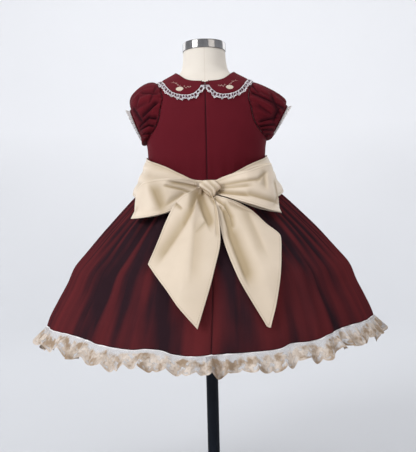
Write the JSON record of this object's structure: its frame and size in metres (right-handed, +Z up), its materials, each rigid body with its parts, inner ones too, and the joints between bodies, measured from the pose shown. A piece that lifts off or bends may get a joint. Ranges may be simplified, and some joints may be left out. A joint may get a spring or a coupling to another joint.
{
  "type": "toddler party dress on a dress form",
  "caption": "Full-skirted toddler party dress with flat collar, puff sleeves, lace edges and a wide sash tied in a bow at the back, on a limbless dress form with a stand.",
  "frame": {"origin": "centre of the flat underside of the stand's foot", "axes": "+Z up; -Y towards the dress's back, with its zip and bow; +X towards the wearer's right"},
  "size_m": [0.5968, 0.6025, 0.844],
  "materials": {
    "burgundy_cloth": "soft matt cloth with a slight sheen",
    "zip_tape": "matt woven tape",
    "zip_metal": "satin",
    "white_lace": "fine cotton lace",
    "hem_lace": "beige flower lace on net",
    "cream_sateen": "smooth sateen with a soft sheen",
    "form_linen": "matt linen",
    "polished_cap": "polished",
    "stand_paint": "dark satin"
  },
  "bodies": {
    "root": {"bodice_front": "burgundy_cloth", "bodice_back_left": "burgundy_cloth", "bodice_back_right": "burgundy_cloth", "back_zip": "zip_tape", "zip_pull": "zip_metal", "collar_left": "burgundy_cloth", "collar_right": "burgundy_cloth", "collar_lace_left": "white_lace", "collar_lace_right": "white_lace", "sleeve_left": "burgundy_cloth", "sleeve_right": "burgundy_cloth", "cuff_left": "burgundy_cloth", "cuff_right": "burgundy_cloth", "cuff_lace_left": "white_lace", "cuff_lace_right": "white_lace", "skirt_front": "burgundy_cloth", "skirt_back_left": "burgundy_cloth", "skirt_back_right": "burgundy_cloth", "hem_lace": "hem_lace", "sash": "cream_sateen", "bow_loop_left": "cream_sateen", "bow_loop_right": "cream_sateen", "bow_knot": "cream_sateen", "bow_tail_left": "cream_sateen", "bow_tail_right": "cream_sateen", "form_torso": "form_linen", "neck_cap": "polished_cap", "stand_pole": "stand_paint", "stand_base": "stand_paint"}
  },
  "joints": []
}
